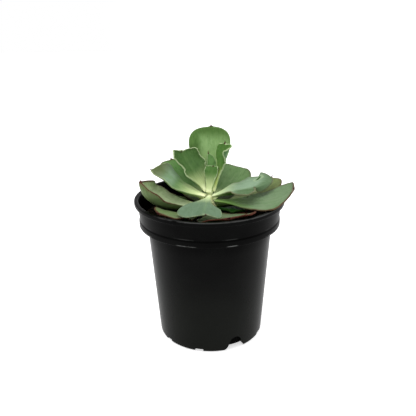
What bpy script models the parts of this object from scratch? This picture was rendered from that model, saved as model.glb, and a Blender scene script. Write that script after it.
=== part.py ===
# A potted echeveria: a rosette of broad, wavy, fleshy leaves on a short stem, rooted in
# potting soil in a tapered plastic nursery pot. Metres, +Z up, origin at the centre of the
# pot's flat bottom. Azimuths are in degrees from +X, turning towards +Y.

import math

import bmesh
import bpy
from mathutils import Matrix, Vector

MM = 0.001

# Pot: outer sizes of a 90 mm nursery pot
LIP_RADIUS = 45.0 * MM
POT_HEIGHT = 88.0 * MM
WALL = 1.2 * MM
LIP_WIDTH = 2.4 * MM
LIP_DROP = 2.6 * MM
LIP_EDGE = 0.5 * MM
COLLAR_RADIUS_TOP = 42.9 * MM
COLLAR_RADIUS_BOTTOM = 42.1 * MM
COLLAR_HEIGHT = 15.6 * MM
BEAD_HEIGHT = 3.6 * MM
BEAD_PROUD = 0.45 * MM
BODY_RADIUS_TOP = 37.6 * MM
BASE_RADIUS = 32.4 * MM
HEEL = 1.0 * MM
SHELF_DROP = 1.6 * MM
SHELF_RISE = 0.4 * MM
FLOOR_THICKNESS = 2.4 * MM
FLOOR_EDGE = 1.0 * MM
POT_STEPS = 60

# Drainage round the foot: every third place is an arched hole, the others are shallow grooves
DRAIN_PLACES = 9
FIRST_DRAIN_AZIMUTH = -63.5
HOLE_EVERY = 3
HOLE_WIDTH = 9.4 * MM
HOLE_HEIGHT = 8.8 * MM
HOLE_INWARD = 7.0 * MM
HOLE_SQUARENESS = 2.3
HOLE_LEVELS = 8
FLARE_WIDTH = 2.8 * MM
FLARE_HEIGHT = 4.2 * MM
GROOVE_WIDTH = 5.4 * MM
GROOVE_DEPTH = 2.0 * MM
GROOVE_INWARD = 9.0 * MM
CUTTER_OUTSIDE = 4.0 * MM

# Soil and stem
GAP = 0.35 * MM
SOIL_DOWN = 12.6 * MM
SOIL_RELIEF = 1.1 * MM
SOIL_STEPS = 44
SOIL_RINGS = 9
STEM_RADIUS = 4.6 * MM
STEM_TIP_RADIUS = 1.0 * MM
STEM_DEPTH = 16.0 * MM
STEM_END_RADIUS = 3.0 * MM
STEM_SWELL = 0.62
STEM_TAPER_STEPS = 6
STEM_STEPS = 20

# Blades, with places given as shares of the length: ripples of the margins, and how the blade thins
RIPPLES = 2.5
RIPPLE_LAG = 0.37
RIPPLE_START = 0.25
RIPPLE_FULL = 0.7
NOD_START = 0.55
LOBE_START = 0.5
FOLD_DEPTH = 2.2
MUCRO_SHARE = 0.1
MUCRO_START = 0.93
EDGE_THINNING = 0.62
TIP_THINNING = 0.35
THINNEST = 0.38
TIP_THINS_FROM = 0.6

# Rows of a blade crowd towards its tip and stop just short of it
ROW_CROWDING = 1.35
LAST_ROW = 0.995

# Heights counted from the pot's bottom
RIM_Z = POT_HEIGHT
COLLAR_Z = POT_HEIGHT - COLLAR_HEIGHT
SHELF_Z = COLLAR_Z - SHELF_DROP
SOIL_Z = RIM_Z - SOIL_DOWN


def leaf(name, azimuth, height, reach, length, width, rise, **shape):
    """The sizes of one leaf in millimetres and degrees. height is where its foot sits, counted from the rim.

    A pair of numbers gives the clockwise and the anticlockwise half, seen from above. nod bends the end
    down. A fold moves the margin of one half: half, place along the blade, spread, then up, outwards and
    forward. A curl rolls one half inwards: half, place, spread, degrees and added width.
    """
    made = dict(
        name=name,
        azimuth=azimuth,
        height=height,
        reach=reach,
        length=length,
        width=width,
        rise=rise,
        curl=0,
        curl_power=1.0,
        sweep=0,
        roll=0,
        bias=0.0,
        foot=0.13,
        waist=1.2,
        widest=0.70,
        blunt=2.4,
        cup=22,
        cup_tip=8,
        lobe=0.0,
        lobe_power=1.5,
        thick=2.2,
        mucro=2.0,
        ripple=0.8,
        folds=(),
        nod=0,
        curls=(),
        rows=12,
        columns=8,
    )
    unknown = set(shape) - set(made)
    if unknown:
        raise ValueError(f"{name}: {unknown}")
    made.update(shape)
    for key in ("cup", "cup_tip", "lobe", "ripple"):
        if not isinstance(made[key], tuple):
            made[key] = (made[key], made[key])
    return made


LEAVES = [
    # lowest, near the rim
    leaf(
        "leaf_front_low", -75, -9.3, 5.2, 36, 33, 8, curl=24, curl_power=2.2,
        cup=(8, 8), cup_tip=(0, 14), lobe=(0.1, 0.36), bias=0.06, widest=0.6, waist=0.9,
    ),
    leaf(
        "leaf_front_left_low", -133, -9.2, 5.2, 37, 22.5, 5.2, curl=20, roll=-5, cup_tip=14, bias=0.05,
        folds=((-1, 0.48, 0.16, -1.8, -3.0, 0),),
    ),
    leaf("leaf_right_front_low", -33, -7.1, 5.0, 20, 11, 8, rows=10, columns=6),
    leaf("leaf_rear_right_low", 64, -9.3, 5.2, 36, 25, 7, curl=17, rows=10, columns=6),
    leaf("leaf_rear_low", 90.5, -7.3, 5.0, 35, 24, 20, curl=8, rows=10, columns=6),
    leaf("leaf_rear_left_low", 114, -9.0, 5.2, 30, 16, 9, curl=10, foot=0.1, rows=10, columns=6),
    leaf("leaf_left_rear_low", 151.5, -9.8, 4.8, 33, 21, 3, curl=6, foot=0.1, rows=10, columns=6),
    # lower ring
    leaf(
        "leaf_right_low", 16, -6.6, 4.4, 39.5, 24, 6, curl=48, curl_power=1.9, lobe=(0.75, 0),
        cup=(4, 24), cup_tip=(-35, 14),
    ),
    leaf(
        "leaf_left_low", 203, -5.4, 4.2, 45.5, 29, 2, curl=92, curl_power=2.6, sweep=-20,
        cup=(48, 50), cup_tip=(52, 84), bias=-0.12, waist=0.8, foot=0.1, blunt=2.0,
    ),
    leaf(
        "leaf_right_front", -22, -2.4, 3.6, 50.8, 28, 2.0, curl=59, curl_power=3.4, roll=4,
        cup=(14, 6), cup_tip=(0, 34), widest=0.66, blunt=3.0, lobe=(0.55, 0.2), mucro=0.8,
    ),
    leaf(
        "leaf_rear_left", 136.5, -4.1, 4.0, 35.5, 23.5, 26.5, curl=21, roll=-7, lobe=(0, 0.25),
        blunt=2.8, folds=((1, 0.42, 0.18, -0.8, -4.4, 0), (-1, 0.3, 0.14, 0, 2, 0)),
    ),
    leaf(
        "leaf_rear_right", 61, -4.2, 4.1, 34, 26, 22, curl=6, lobe=(0.2, 0.4), foot=0.1, bias=-0.05,
        roll=9, blunt=2.0, mucro=0.8,
    ),
    # upper ring
    leaf(
        "leaf_front_left", -96, 0.3, 1.8, 31, 25, 3.2, curl=-6, roll=2, cup_tip=-8, bias=-0.08,
        lobe=(0.42, 0.66), foot=0.1, waist=1.3, widest=0.82, blunt=2.6, mucro=0.8,
        folds=((1, 0.54, 0.2, 0, -4.0, 0), (-1, 0.7, 0.12, 0.8, 1.2, 0), (-1, 0.95, 0.12, 0, -1.6, 0.6)),
    ),
    leaf(
        "leaf_left", 172, -0.2, 2.2, 36.5, 21, 4, curl=62, nod=42, roll=-8,
        cup=(22, 50), cup_tip=(30, 20), bias=-0.05, foot=0.24, waist=0.8, widest=0.6, blunt=1.8,
        folds=((-1, 0.82, 0.1, 1.8, 1, 0), (-1, 0.5, 0.16, -1.8, -2.6, 0)),
    ),
    leaf(
        "leaf_right", -13, 0.3, 1.9, 25.5, 25, 14, lobe=(0.25, 0.98), lobe_power=0.5, blunt=4.0,
        cup=(20, 20), cup_tip=(10, 60), foot=0.14, waist=0.9, rows=14,
        folds=(
            (-1, 0.45, 0.22, 1.5, -2, 0),
            (-1, 0.86, 0.1, -1.6, 0.5, 0),
            (1, 0.62, 0.14, -1, -1, 0),
            (1, 0.79, 0.05, -1.8, 0, 0),
            (1, 0.88, 0.05, 1.3, 0, -2.5),
            (1, 0.99, 0.05, -3.6, 0, 1.5),
        ),
    ),
    leaf("leaf_rear", 100, -5.2, 4.2, 34, 14, 24, curl=4, rows=10, columns=6),
    # standing leaves of the heart
    leaf(
        "leaf_back_tall", 86, -2.2, 4.2, 45, 26, 44, curl=42, widest=0.78, foot=0.14, cup=6,
        cup_tip=10, blunt=2.6, bias=0.03,
    ),
    leaf(
        "leaf_back_left", 134, 2.2, 2.8, 30, 20.5, 43, curl=2, roll=-16, ripple=1.2, lobe=(0, 0.6),
        foot=0.12, waist=1.0, blunt=2.8, bias=-0.04, cup=(55, 25), cup_tip=(50, 35),
        folds=((1, 0.62, 0.12, 0, -3.2, 0), (1, 0.92, 0.1, 2.4, -1.6, 0), (-1, 0.8, 0.14, 1.0, -2.0, 0)),
    ),
    leaf(
        "leaf_inner_right", 41, 2.2, 3.2, 29.4, 14.2, 64, curl=14, foot=0.14, waist=2.4, widest=0.9,
        blunt=3.4, bias=-0.08, lobe=(0.14, 0), curls=((-1, 0.77, 0.13, 85, 0.2),),
    ),
    leaf(
        "leaf_inner_back", 84, 1.8, 4.0, 23, 6.6, 63.0, curl=4, sweep=20, foot=0.2, bias=-0.15,
        cup=(10, 60), cup_tip=(10, 90), blunt=2.0, rows=10, columns=6, thick=1.2,
    ),
    leaf(
        "leaf_inner_small", 68, 2.0, -0.4, 16.6, 8.6, 63, foot=0.4, widest=0.86, blunt=3.5, mucro=0.6,
        lobe=0.15, bias=0.08, rows=9, columns=6, thick=1.2,
    ),
]


def smooth(low, high, x):
    x = min(max((x - low) / (high - low), 0.0), 1.0)
    return x * x * (3 - 2 * x)


def material(name, colour, roughness):
    made = bpy.data.materials.new(name)
    made.use_nodes = True
    shader = made.node_tree.nodes["Principled BSDF"]
    shader.inputs["Base Color"].default_value = (*colour, 1)
    shader.inputs["Roughness"].default_value = roughness
    shader.inputs["Metallic"].default_value = 0
    return made


def mesh_object(name, mesh, collection, finish=None):
    made = bpy.data.objects.new(name, mesh)
    collection.objects.link(made)
    if finish:
        mesh.materials.append(finish)
    return made


def midrib(sizes, steps=60):
    """Points of the leaf's midrib with its tangent's elevation and azimuth at each, from foot to tip."""
    azimuth = math.radians(sizes["azimuth"])
    point = Vector(
        (
            sizes["reach"] * math.cos(azimuth),
            sizes["reach"] * math.sin(azimuth),
            RIM_Z / MM + sizes["height"],
        )
    )
    found = []
    for i in range(steps + 1):
        t = i / steps
        nod = sizes["nod"] * smooth(NOD_START, 1, t)
        rise = math.radians(sizes["rise"] + sizes["curl"] * t ** sizes["curl_power"] - nod)
        turn = azimuth + math.radians(sizes["sweep"]) * t
        found.append((point.copy(), rise, turn))
        along = Vector(
            (
                math.cos(rise) * math.cos(turn),
                math.cos(rise) * math.sin(turn),
                math.sin(rise),
            )
        )
        point += along * (sizes["length"] / steps)
    return found


def half_width(sizes, t, side):
    """Half the blade's width at t, from a narrow foot to a blunt, rounded end."""
    full = sizes["width"] * (0.5 + side * sizes["bias"])
    if t < sizes["widest"]:
        grown = smooth(0, sizes["widest"], t) ** sizes["waist"]
        return full * (sizes["foot"] + (1 - sizes["foot"]) * grown)
    past = (t - sizes["widest"]) / (1 - sizes["widest"])
    return full * max(0.0, 1 - past ** sizes["blunt"]) ** (1 / sizes["blunt"])


def leaf_point(sizes, ribs, t, s):
    """A point of the blade's middle surface, in millimetres.

    t runs from 0 at the foot to 1 at the tip, and s from -1 to 1 across.
    """
    steps = len(ribs) - 1
    at = min(t * steps, steps - 1e-6)
    low = int(at)
    share = at - low
    point = ribs[low][0].lerp(ribs[low + 1][0], share)
    rise = ribs[low][1] + (ribs[low + 1][1] - ribs[low][1]) * share
    turn = ribs[low][2] + (ribs[low + 1][2] - ribs[low][2]) * share
    along = Vector(
        (math.cos(rise) * math.cos(turn), math.cos(rise) * math.sin(turn), math.sin(rise))
    )
    flat = Vector((-math.sin(turn), math.cos(turn), 0))
    up = along.cross(flat)
    roll = math.radians(sizes["roll"] * smooth(0, 0.5, t))
    across = flat * math.cos(roll) + up * math.sin(roll)
    normal = up * math.cos(roll) - flat * math.sin(roll)
    hand = 1 if s > 0 else 0
    side = abs(s)
    half = half_width(sizes, t, 1 if s > 0 else -1)
    arc = sizes["cup"][hand] + (sizes["cup_tip"][hand] - sizes["cup"][hand]) * t
    for curl_hand, middle, reach, degrees, widen in sizes["curls"]:
        if s * curl_hand > 0:
            weight = math.exp(-(((t - middle) / reach) ** 2))
            arc += degrees * weight
            half *= 1 + widen * weight
    fullness = half / (sizes["width"] / 2)
    arc = math.radians(arc)
    arc = arc if abs(arc) > 0.01 else 0.01
    lift = half * (1 - math.cos(arc * side)) / arc
    wave = math.sin(2 * math.pi * (RIPPLES * t + RIPPLE_LAG * hand))
    lift += sizes["ripple"][hand] * smooth(RIPPLE_START, RIPPLE_FULL, t) * fullness * side**3 * wave
    sideways = math.copysign(half * math.sin(arc * side) / arc, s)
    bulge = (side * fullness) ** sizes["lobe_power"] * smooth(LOBE_START, 1.0, t)
    forward = sizes["lobe"][hand] * sizes["width"] / 2 * bulge
    forward += sizes["mucro"] * math.exp(-((s / MUCRO_SHARE) ** 2)) * smooth(MUCRO_START, 1.0, t)
    wrap = sizes["reach"] * (1 - math.cos(min(1.2, side * half / (sizes["reach"] + 1.5))))
    forward -= wrap * (1 - smooth(0, 0.3, t))
    for fold_hand, middle, reach, rise_by, shift_by, forward_by in sizes["folds"]:
        if s * fold_hand > 0:
            weight = math.exp(-(((t - middle) / reach) ** 2)) * side**FOLD_DEPTH
            lift += rise_by * weight
            sideways += fold_hand * shift_by * weight
            forward += forward_by * weight
    return point + across * sideways + normal * lift + along * forward


def rows_of(sizes):
    """Values of t for the leaf's rows: even along the blade, close at the blunt end."""
    rows = sizes["rows"]
    return [1 - (1 - i / rows) ** ROW_CROWDING for i in range(rows)] + [LAST_ROW]


def leaf_object(sizes, collection, finish):
    """The blade is a grid bent to the leaf's surface, thickened by Solidify, thin along its margins."""
    mesh = bpy.data.meshes.new(sizes["name"])
    work = bmesh.new()
    columns, rows = sizes["columns"], sizes["rows"]
    bmesh.ops.create_grid(work, x_segments=rows, y_segments=columns, size=1)
    ribs = midrib(sizes)
    places = rows_of(sizes)
    weights = []
    for vertex in work.verts:
        row = round((vertex.co.x + 1) / 2 * rows)
        s = vertex.co.y
        t = places[row]
        side = abs(s)
        thin_tip = 1 - TIP_THINNING * smooth(TIP_THINS_FROM, 1.0, t)
        weights.append(max(THINNEST, (1 - EDGE_THINNING * side**1.8) * thin_tip))
        vertex.co = leaf_point(sizes, ribs, t, s) * MM
    bmesh.ops.triangulate(work, faces=work.faces[:])
    work.to_mesh(mesh)
    work.free()
    mesh.shade_smooth()
    made = mesh_object(sizes["name"], mesh, collection, finish)
    group = made.vertex_groups.new(name="thickness")
    for index, weight in enumerate(weights):
        group.add([index], weight, "REPLACE")
    thicken = made.modifiers.new("thickness", "SOLIDIFY")
    thicken.thickness = sizes["thick"] * MM
    thicken.offset = 0
    thicken.vertex_group = "thickness"
    return made


def turned(name, profile, steps, collection, finish):
    """A solid of revolution about Z from (radius, height) points that run down its outside."""
    mesh = bpy.data.meshes.new(name)
    mesh.from_pydata(
        [(radius, 0, height) for radius, height in profile],
        [(i, i + 1) for i in range(len(profile) - 1)],
        [],
    )
    made = mesh_object(name, mesh, collection, finish)
    spin = made.modifiers.new("turn", "SCREW")
    spin.steps = spin.render_steps = steps
    spin.use_merge_vertices = True
    spin.merge_threshold = 0.00001
    spin.use_smooth_shade = True
    return made


def inner_wall():
    """The pot's inner surface from its floor up to the collar, as (radius, height) points."""
    return [
        (0, FLOOR_THICKNESS),
        (BASE_RADIUS - WALL - FLOOR_EDGE, FLOOR_THICKNESS),
        (BASE_RADIUS - WALL, FLOOR_THICKNESS + FLOOR_EDGE),
        (BODY_RADIUS_TOP - WALL, SHELF_Z),
        (BODY_RADIUS_TOP - 0.5 * WALL, SHELF_Z + 1.6 * WALL),
        (COLLAR_RADIUS_BOTTOM - 1.7 * WALL, COLLAR_Z + WALL),
        (COLLAR_RADIUS_BOTTOM - WALL, COLLAR_Z + 1.8 * WALL),
    ]


def hole_cutter():
    """An arch along +X that flares at its foot, for one drainage hole."""
    work = bmesh.new()
    bmesh.ops.create_grid(work, x_segments=1, y_segments=HOLE_LEVELS, size=1)
    inner_end = BASE_RADIUS - HOLE_INWARD
    for vertex in work.verts:
        share = (vertex.co.y + 1) / 2
        height = HOLE_HEIGHT * 0.998 * math.sin(share * math.pi / 2)
        arch = (1 - (height / HOLE_HEIGHT) ** HOLE_SQUARENESS) ** (1 / HOLE_SQUARENESS)
        flare = max(0, 1 - height / FLARE_HEIGHT) ** 2
        half = HOLE_WIDTH / 2 * arch + FLARE_WIDTH * flare
        below = -HOLE_HEIGHT if share < 0.5 / HOLE_LEVELS else 0
        vertex.co = (inner_end, math.copysign(half, vertex.co.x), height + below)
    made = bmesh.ops.extrude_face_region(work, geom=work.faces[:])
    outer = [piece for piece in made["geom"] if isinstance(piece, bmesh.types.BMVert)]
    bmesh.ops.translate(work, vec=(HOLE_INWARD + CUTTER_OUTSIDE, 0, 0), verts=outer)
    bmesh.ops.recalc_face_normals(work, faces=work.faces[:])
    return work


def groove_cutter():
    """A low bar along +X, for one shallow groove under the foot."""
    work = bmesh.new()
    bmesh.ops.create_cube(work, size=1)
    length = GROOVE_INWARD + CUTTER_OUTSIDE
    middle = BASE_RADIUS + (CUTTER_OUTSIDE - GROOVE_INWARD) / 2
    bmesh.ops.scale(work, vec=(length, GROOVE_WIDTH, 2 * GROOVE_DEPTH), verts=work.verts[:])
    bmesh.ops.translate(work, vec=(middle, 0, 0), verts=work.verts[:])
    return work


def make_pot(collection, cutters, finish):
    lip_in = LIP_RADIUS - LIP_WIDTH
    profile = inner_wall() + [
        (COLLAR_RADIUS_TOP - WALL, RIM_Z - LIP_DROP),
        (lip_in, RIM_Z - LIP_EDGE),
        (lip_in + LIP_EDGE, RIM_Z),
        (LIP_RADIUS - LIP_EDGE, RIM_Z),
        (LIP_RADIUS, RIM_Z - LIP_EDGE),
        (LIP_RADIUS, RIM_Z - LIP_DROP + LIP_EDGE),
        (LIP_RADIUS - LIP_EDGE, RIM_Z - LIP_DROP),
        (COLLAR_RADIUS_TOP, RIM_Z - LIP_DROP),
        (COLLAR_RADIUS_BOTTOM, COLLAR_Z + BEAD_HEIGHT + BEAD_PROUD),
        (COLLAR_RADIUS_BOTTOM + BEAD_PROUD, COLLAR_Z + BEAD_HEIGHT - BEAD_PROUD),
        (COLLAR_RADIUS_BOTTOM + BEAD_PROUD, COLLAR_Z + BEAD_PROUD),
        (COLLAR_RADIUS_BOTTOM, COLLAR_Z),
        (BODY_RADIUS_TOP + 0.5 * SHELF_DROP, COLLAR_Z - SHELF_RISE),
        (BODY_RADIUS_TOP, SHELF_Z),
        (BASE_RADIUS, HEEL),
        (BASE_RADIUS - 0.5 * HEEL, 0.3 * HEEL),
        (BASE_RADIUS - HEEL, 0),
        (0, 0),
    ]
    pot = turned("pot", profile, POT_STEPS, collection, finish)
    for place in range(DRAIN_PLACES):
        work = hole_cutter() if place % HOLE_EVERY == 0 else groove_cutter()
        azimuth = math.radians(FIRST_DRAIN_AZIMUTH + place * 360 / DRAIN_PLACES)
        mesh = bpy.data.meshes.new(f"drain_cutter_{place}")
        work.to_mesh(mesh)
        work.free()
        mesh.transform(Matrix.Rotation(azimuth, 4, "Z"))
        cutter = mesh_object(f"drain_cutter_{place}", mesh, cutters)
        cutter.hide_render = True
        cutter.display_type = "WIRE"
        cut = pot.modifiers.new(f"drain {place}", "BOOLEAN")
        cut.operation = "DIFFERENCE"
        cut.object = cutter
    return pot


def make_soil(collection, finish):
    """A turned plug that fills the pot, uneven on top, with a plain hole for the stem."""
    hole = STEM_RADIUS + GAP
    hole_floor = SOIL_Z - STEM_DEPTH
    level = 0.1 * MM
    sides = [(max(0, radius - 1.3 * GAP), height + GAP) for radius, height in inner_wall()]
    outer = sides[-1][0]
    rings = [hole + (outer - hole) * i / (SOIL_RINGS - 1) for i in range(SOIL_RINGS)]
    profile = [(0, hole_floor), (hole, hole_floor)]
    profile += [(radius, SOIL_Z) for radius in rings]
    profile += sides[::-1]
    mesh = bpy.data.meshes.new("soil")
    work = bmesh.new()
    points = [work.verts.new((radius, 0, height)) for radius, height in profile]
    edges = [work.edges.new((a, b)) for a, b in zip(points, points[1:])]
    bmesh.ops.spin(
        work,
        geom=points + edges,
        cent=(0, 0, 0),
        axis=(0, 0, 1),
        angle=2 * math.pi,
        steps=SOIL_STEPS,
        use_merge=True,
    )
    bmesh.ops.remove_doubles(work, verts=work.verts[:], dist=0.00001)
    for vertex in work.verts:
        radius = math.hypot(vertex.co.x, vertex.co.y)
        if abs(vertex.co.z - SOIL_Z) < level and hole + level < radius < outer - level:
            x, y = vertex.co.x / MM, vertex.co.y / MM
            rough = math.sin(0.61 * x + 1.3) * math.cos(0.53 * y)
            rough += 0.8 * math.sin(1.7 * x + 2.1 * y)
            rough += 0.6 * math.cos(2.9 * x - 1.3 * y + 0.7)
            vertex.co.z += SOIL_RELIEF * rough / 2.4
    bmesh.ops.recalc_face_normals(work, faces=work.faces[:])
    work.to_mesh(mesh)
    work.free()
    mesh.shade_smooth()
    return mesh_object("soil", mesh, collection, finish)


def make_stem(collection, finish):
    """A short stem that tapers into the heart of the rosette, above the rim."""
    top = RIM_Z + STEM_TIP_RADIUS
    shoulder = SOIL_Z + 1.6 * MM
    end = SOIL_Z - STEM_DEPTH + GAP
    profile = [(0, top), (0.7 * STEM_TIP_RADIUS, top - 0.3 * STEM_TIP_RADIUS)]
    for step in range(STEM_TAPER_STEPS + 1):
        share = step / STEM_TAPER_STEPS
        radius = STEM_TIP_RADIUS + (STEM_RADIUS - STEM_TIP_RADIUS) * share**STEM_SWELL
        profile.append((radius, top - 1.6 * STEM_TIP_RADIUS + (shoulder - top) * share))
    profile += [(STEM_RADIUS, end + STEM_END_RADIUS), (STEM_END_RADIUS, end), (0, end)]
    return turned("stem", profile, STEM_STEPS, collection, finish)


def main():
    for old in list(bpy.data.objects):
        bpy.data.objects.remove(old)
    scene = bpy.context.scene.collection
    plant = bpy.data.collections.new("potted_echeveria")
    cutters = bpy.data.collections.new("cutters")
    scene.children.link(plant)
    scene.children.link(cutters)
    black_plastic = material("black_plastic", (0.012, 0.012, 0.013), 0.42)
    potting_soil = material("potting_soil", (0.030, 0.022, 0.017), 0.95)
    stem_bark = material("stem_bark", (0.20, 0.24, 0.12), 0.75)
    leaf_skin = material("leaf_skin", (0.22, 0.36, 0.20), 0.5)
    make_pot(plant, cutters, black_plastic)
    make_soil(plant, potting_soil)
    make_stem(plant, stem_bark)
    for sizes in LEAVES:
        leaf_object(sizes, plant, leaf_skin)


main()
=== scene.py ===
import math
import random

import bmesh
import bpy
import numpy as np
from mathutils import Matrix, Vector, noise


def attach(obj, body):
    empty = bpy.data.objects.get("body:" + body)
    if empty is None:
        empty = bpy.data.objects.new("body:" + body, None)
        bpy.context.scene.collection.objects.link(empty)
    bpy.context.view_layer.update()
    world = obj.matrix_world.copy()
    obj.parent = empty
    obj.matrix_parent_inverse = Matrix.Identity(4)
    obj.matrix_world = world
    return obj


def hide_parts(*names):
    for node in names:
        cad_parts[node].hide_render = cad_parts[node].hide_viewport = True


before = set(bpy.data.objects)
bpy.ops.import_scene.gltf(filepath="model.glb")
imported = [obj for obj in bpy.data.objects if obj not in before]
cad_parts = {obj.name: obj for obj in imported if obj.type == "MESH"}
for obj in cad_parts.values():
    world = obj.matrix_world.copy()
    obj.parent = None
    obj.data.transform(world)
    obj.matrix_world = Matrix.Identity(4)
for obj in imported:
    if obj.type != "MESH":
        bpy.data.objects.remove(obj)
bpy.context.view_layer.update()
mm = 0.001
scene = bpy.context.scene


# Shader sums: a value in a node tree that takes + - * and **, and one method that makes any other node

class Wire:
    def __init__(self, sheet, out):
        self.sheet = sheet
        self.out = out

    def maths(self, operation, first, second):
        return self.sheet.node("ShaderNodeMath", {"operation": operation}, {0: first, 1: second})

    def __add__(self, other):
        return self.maths("ADD", self, other)

    def __radd__(self, other):
        return self.maths("ADD", other, self)

    def __sub__(self, other):
        return self.maths("SUBTRACT", self, other)

    def __rsub__(self, other):
        return self.maths("SUBTRACT", other, self)

    def __mul__(self, other):
        return self.maths("MULTIPLY", self, other)

    def __rmul__(self, other):
        return self.maths("MULTIPLY", other, self)

    def __pow__(self, other):
        return self.maths("POWER", self, other)


class Sheet:
    def __init__(self, tree):
        self.tree = tree

    def node(self, kind, settings=None, sockets=None, out=0):
        made = self.tree.nodes.new(kind)
        for key, value in (settings or {}).items():
            if key == "stops":
                ramp = made.color_ramp
                while len(ramp.elements) < len(value):
                    ramp.elements.new(0.5)
                for element, (place, tint) in zip(ramp.elements, value):
                    element.position = place
                    element.color = (*tint, 1)
            else:
                setattr(made, key, value)
        for key, value in (sockets or {}).items():
            self.feed(made.inputs[key], value)
        return Wire(self, made.outputs[out])

    def feed(self, socket, value):
        if isinstance(value, Wire):
            self.tree.links.new(value.out, socket)
        elif isinstance(value, tuple) and len(value) == 3 and socket.type == "RGBA":
            socket.default_value = (*value, 1)
        else:
            socket.default_value = value

    def blend(self, first, second, factor, mode="MIX"):
        settings = {"data_type": "RGBA", "blend_type": mode, "clamp_factor": True}
        return self.node("ShaderNodeMix", settings, {0: factor, 6: first, 7: second}, out=2)

    def ease(self, value, low, high, atLow=0.0, atHigh=1.0):
        sockets = {0: value, 1: low, 2: high, 3: atLow, 4: atHigh}
        return self.node("ShaderNodeMapRange", {"interpolation_type": "SMOOTHSTEP"}, sockets)

    def layered(self, colour, *layers):
        for tint, share in layers:
            colour = self.blend(colour, tint, share)
        return colour

    def axis(self, vector, name):
        return self.node("ShaderNodeSeparateXYZ", None, {0: vector}, out=name)

    def scaled(self, vector, scale):
        sockets = {"Vector": vector, "Scale": scale}
        return self.node("ShaderNodeMapping", {"vector_type": "POINT"}, sockets)

    def cloud(self, vector, scale, detail=3.0, roughness=0.55, distortion=0.0):
        sockets = {"Vector": vector, "Scale": scale, "Detail": detail, "Roughness": roughness}
        sockets["Distortion"] = distortion
        return self.node("ShaderNodeTexNoise", {"noise_dimensions": "3D"}, sockets)

    def attribute(self, name, out="Fac"):
        return self.node("ShaderNodeAttribute", {"attribute_name": name}, out=out)


class Finish(Sheet):
    def __init__(self, name, **constants):
        self.material = bpy.data.materials.new(name)
        self.material.use_nodes = True
        super().__init__(self.material.node_tree)
        self.shader = self.tree.nodes["Principled BSDF"]
        self.set(**constants)

    def set(self, **values):
        for key, value in values.items():
            words = "".join(" " + letter if letter.isupper() else letter for letter in key)
            name = words[0].upper() + words[1:]
            self.feed(self.shader.inputs[name.replace("Ior", "IOR")], value)

    def places(self):
        return self.node("ShaderNodeTexCoord", out="Object")

    def placesInMm(self):
        return self.scaled(self.places(), (1000.0, 1000.0, 1000.0))

    def bump(self, height, strength, distance):
        sockets = {"Height": height, "Strength": strength, "Distance": distance}
        self.feed(self.shader.inputs["Normal"], self.node("ShaderNodeBump", None, sockets))


# Shapes and pieces

def smooth(low, high, x):
    share = np.clip((x - low) / (high - low), 0, 1)
    return share * share * (3 - 2 * share)


def linked(name, data):
    made = bpy.data.objects.new(name, data)
    scene.collection.objects.link(made)
    return made


def newObject(name, work):
    mesh = bpy.data.meshes.new(name)
    work.to_mesh(mesh)
    work.free()
    return linked(name, mesh)


def newPiece(name, work, finish, replaced=None):
    bmesh.ops.recalc_face_normals(work, faces=work.faces[:])
    piece = newObject(name, work)
    piece.data.shade_smooth()
    piece.data.materials.append(finish)
    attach(piece, "root")
    if replaced:
        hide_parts(replaced)
    return piece


def spinProfile(profile, steps, scale=mm):
    work = bmesh.new()
    points = [work.verts.new((radius * scale, 0, height * scale)) for radius, height in profile]
    edges = [work.edges.new(pair) for pair in zip(points, points[1:])]
    bmesh.ops.spin(
        work, geom=points + edges, cent=(0, 0, 0), axis=(0, 0, 1), angle=2 * math.pi, steps=steps,
        use_merge=True,
    )
    bmesh.ops.remove_doubles(work, verts=work.verts[:], dist=0.00001)
    return work


def rounded(corners, segments=5):
    # corners are (radius, height, rounding) in metres; each is rounded with a short curve
    line = []
    for index, (radius, height, rounding) in enumerate(corners):
        here = Vector((radius, height))
        if rounding == 0 or index in (0, len(corners) - 1):
            line.append(here)
            continue
        before = Vector(corners[index - 1][:2])
        after = Vector(corners[index + 1][:2])
        start = here.lerp(before, min(0.45, rounding / (before - here).length))
        end = here.lerp(after, min(0.45, rounding / (after - here).length))
        for step in range(segments + 1):
            share = step / segments
            line.append(start.lerp(here, share).lerp(here.lerp(end, share), share))
    return line


def refined(line, longest):
    # no stretch of the line is longer than the given length
    made = [line[0]]
    for before, after in zip(line, line[1:]):
        pieces = max(1, math.ceil((after - before).length / longest))
        made += [before.lerp(after, step / pieces) for step in range(1, pieces + 1)]
    return made


# Camera, floor and light

view = dict(
    place=(-0.89 * mm, -301.2 * mm, 189.1 * mm), downward=19.84, tilt=-0.8, sensor=36.0, lens=45.72,
    nearest=0.01,
)
studio = dict(
    floorSize=6.0, floorTint=(0.8, 0.8, 0.8), floorGlow=0.6, skyTint=(1.0, 1.0, 1.0), skyBack=1.0,
    skyFront=0.8, skyTurns=(-0.75, 0.15), skyRight=0.9, rightTurns=(0.8, 1.35),
    lampPlace=(-0.15, -0.1, 0.9), lampAim=(0, 0, 0.08), lampSize=0.9, lampPower=4.5,
)


def makeCamera():
    camera = bpy.data.cameras.new("camera")
    camera.sensor_width = view["sensor"]
    camera.lens = view["lens"]
    camera.clip_start = view["nearest"]
    holder = linked("camera", camera)
    pitch = Matrix.Rotation(math.radians(90 - view["downward"]), 4, "X")
    tilt = Matrix.Rotation(math.radians(view["tilt"]), 4, "Z")
    holder.matrix_world = Matrix.Translation(view["place"]) @ pitch @ tilt
    scene.camera = holder


def makeFloor():
    work = bmesh.new()
    bmesh.ops.create_grid(work, x_segments=2, y_segments=2, size=studio["floorSize"] / 2)
    floor = newObject("floor", work)
    paper = Finish("floorPaper", baseColor=studio["floorTint"], roughness=0.9)
    paper.set(specularIorLevel=0.0, emissionColor=(1.0, 1.0, 1.0), emissionStrength=studio["floorGlow"])
    floor.data.materials.append(paper.material)


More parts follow.
